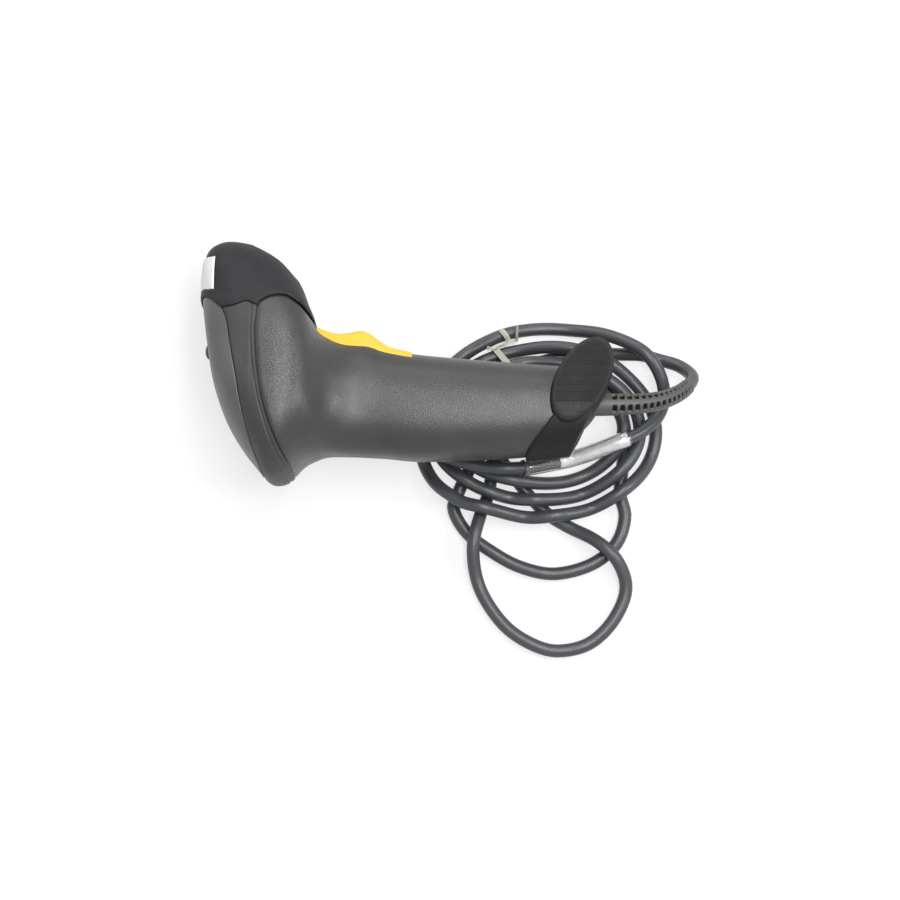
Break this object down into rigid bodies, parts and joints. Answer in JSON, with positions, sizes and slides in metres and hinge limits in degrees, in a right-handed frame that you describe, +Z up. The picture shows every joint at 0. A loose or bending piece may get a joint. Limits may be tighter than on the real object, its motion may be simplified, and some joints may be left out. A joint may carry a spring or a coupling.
{
  "type": "handheld barcode scanner",
  "caption": "Gun-shaped handheld laser barcode scanner lying on its side, with a finger trigger, swinging scan mirror and its lead coiled under the handle.",
  "frame": {"origin": "bottom centre of the scanner's own box, on the surface it lies on, without its lead", "axes": "+X along the handle towards the foot, +Y the scan direction, +Z up across the scanner's width"},
  "size_m": [0.1863, 0.1498, 0.063],
  "materials": {
    "housing_plastic": "fine texture",
    "cover_plastic": "semi-matt",
    "band_rubber": "matt",
    "nose_rubber": "matt, grained",
    "trigger_plastic": "satin",
    "foot_rubber": "matt, ribbed",
    "window_acrylic": "polished, deep red",
    "label_paper": "bare white film",
    "lens_acrylic": "polished",
    "steel": "plain",
    "aluminium": "die cast",
    "board_laminate": "solder mask",
    "black_plastic": "moulded",
    "copper_wire": "enamelled winding",
    "mirror_coating": "first surface",
    "flex_film": "film",
    "cord_pvc": "semi-matt",
    "relief_pvc": "matt",
    "sleeve_film": "clear film",
    "tie_paper": "paper on wire"
  },
  "bodies": {
    "scanner": {"beeper": "black_plastic", "bumper_band": "band_rubber", "cable_jack": "black_plastic", "cable_plug": "lens_acrylic", "collimator_lens": "lens_acrylic", "cord_coil": "cord_pvc", "cord_lead": "cord_pvc", "cord_tail": "cord_pvc", "cord_tie": "tie_paper", "drive_coil": "copper_wire", "engine_board": "board_laminate", "engine_chassis": "aluminium", "flex_cable": "flex_film", "foot_boot": "foot_rubber", "foot_pad_left": "foot_rubber", "foot_pad_right": "foot_rubber", "housing_left": "housing_plastic", "housing_right": "housing_plastic", "housing_screw_1": "steel", "housing_screw_2": "steel", "housing_screw_3": "steel", "label_sleeve": "sleeve_film", "laser_diode": "aluminium", "led_lens": "lens_acrylic", "main_board": "board_laminate", "mirror_pin": "steel", "nose_bumper": "nose_rubber", "nose_label": "label_paper", "photodiode": "black_plastic", "scan_window": "window_acrylic", "strain_relief": "relief_pvc", "switch_body": "black_plastic", "top_cover": "cover_plastic", "trigger_pin": "steel", "usb_overmould": "black_plastic", "usb_shell": "steel", "usb_tongue": "black_plastic", "window_gasket": "black_plastic"},
    "trigger": {"trigger": "trigger_plastic"},
    "switch_plunger": {"switch_plunger": "black_plastic"},
    "mirror": {"mirror_carrier": "black_plastic", "scan_mirror": "mirror_coating", "mirror_magnet": "steel"}
  },
  "joints": [
    {"name": "trigger_pull", "type": "hinge", "parent": "scanner", "child": "trigger", "pos_m": [-0.0298, 0.0052, 0.0315], "axis": [0, 0, 1], "range_deg": [-4.5, 0], "stiffness_Nm_per_rad": 0.6, "springref_deg": 2.86},
    {"name": "switch_press", "type": "slide", "parent": "scanner", "child": "switch_plunger", "axis": [0, 1, 0], "range_m": [-0.0018, 0]},
    {"name": "mirror_scan", "type": "hinge", "parent": "scanner", "child": "mirror", "pos_m": [-0.05245, -0.008, 0.0315], "axis": [1, 0, 0], "range_deg": [-10, 10], "stiffness_Nm_per_rad": 0.002}
  ],
  "couplings": [
    {"joint": "switch_press", "follows": "trigger_pull", "m_per_rad": 0.0218}
  ]
}
